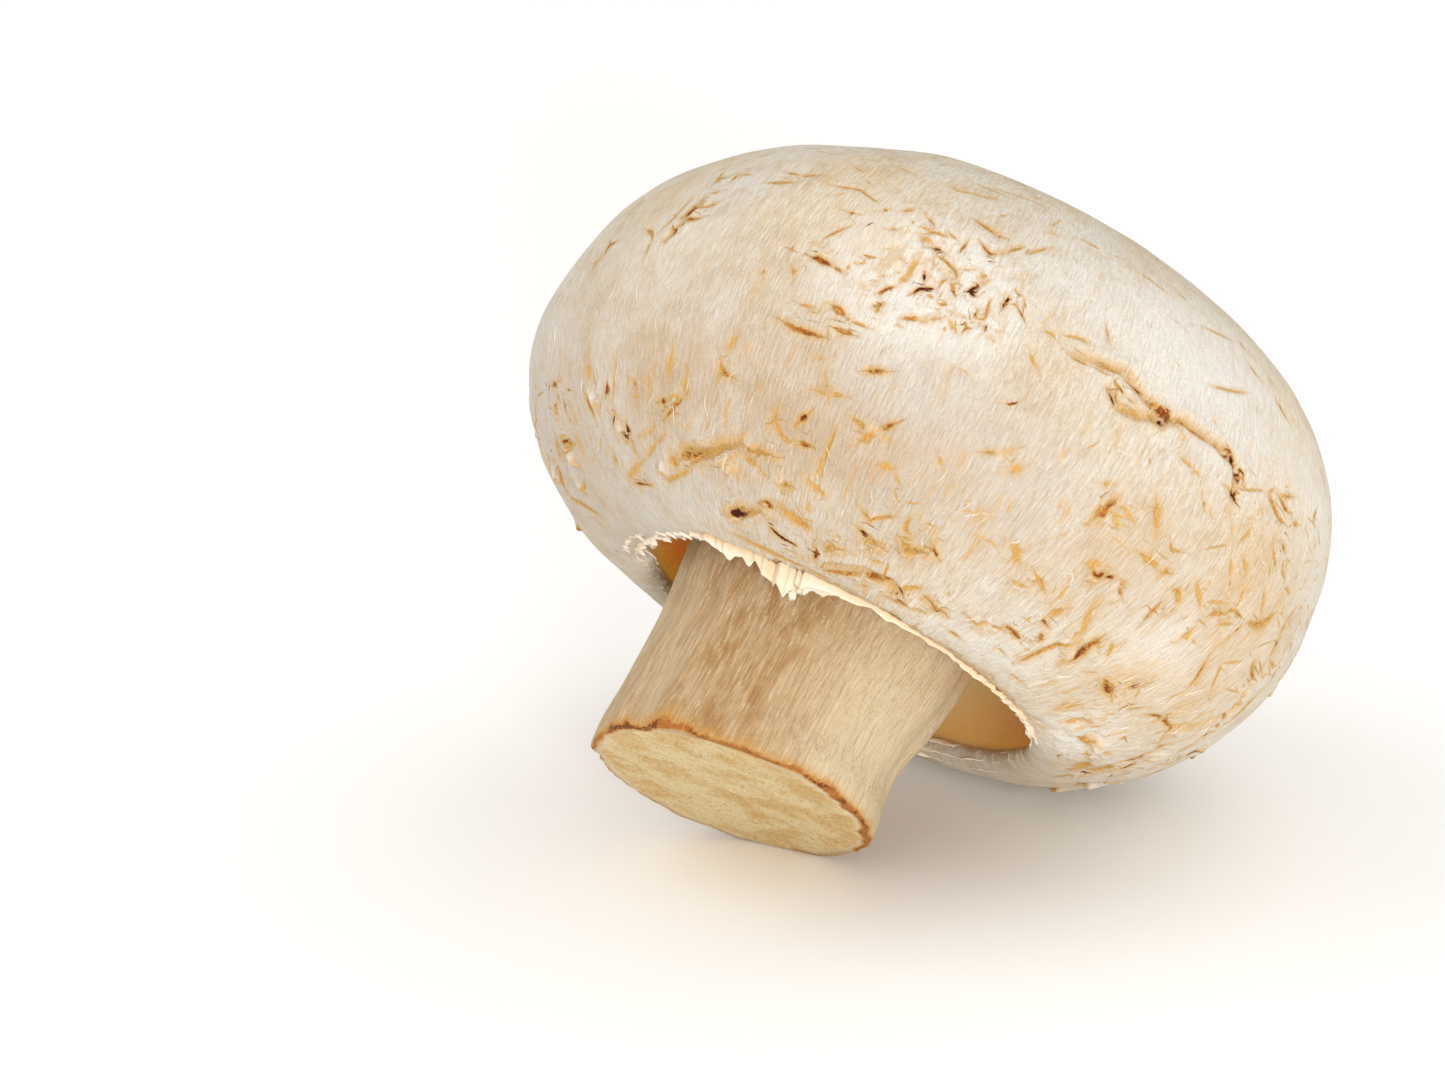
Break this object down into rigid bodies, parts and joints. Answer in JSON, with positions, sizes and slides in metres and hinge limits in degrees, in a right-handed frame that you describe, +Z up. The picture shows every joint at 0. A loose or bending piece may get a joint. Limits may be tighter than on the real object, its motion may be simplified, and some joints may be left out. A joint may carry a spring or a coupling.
{
  "type": "button mushroom",
  "caption": "Whole cultivated button mushroom with a domed, flaking cap, torn veil margin and a short cut stem, lying on its side as food, set dressing or kitchen prop.",
  "frame": {"origin": "middle of the bounding box on the surface that the mushroom lies on", "axes": "+Z up; the stem points to -X and down, the top of the cap to +X and up; Y runs across"},
  "size_m": [0.048, 0.0538, 0.0461],
  "materials": {
    "flesh": "matte"
  },
  "bodies": {
    "root": {"mushroom": "flesh"}
  },
  "joints": []
}
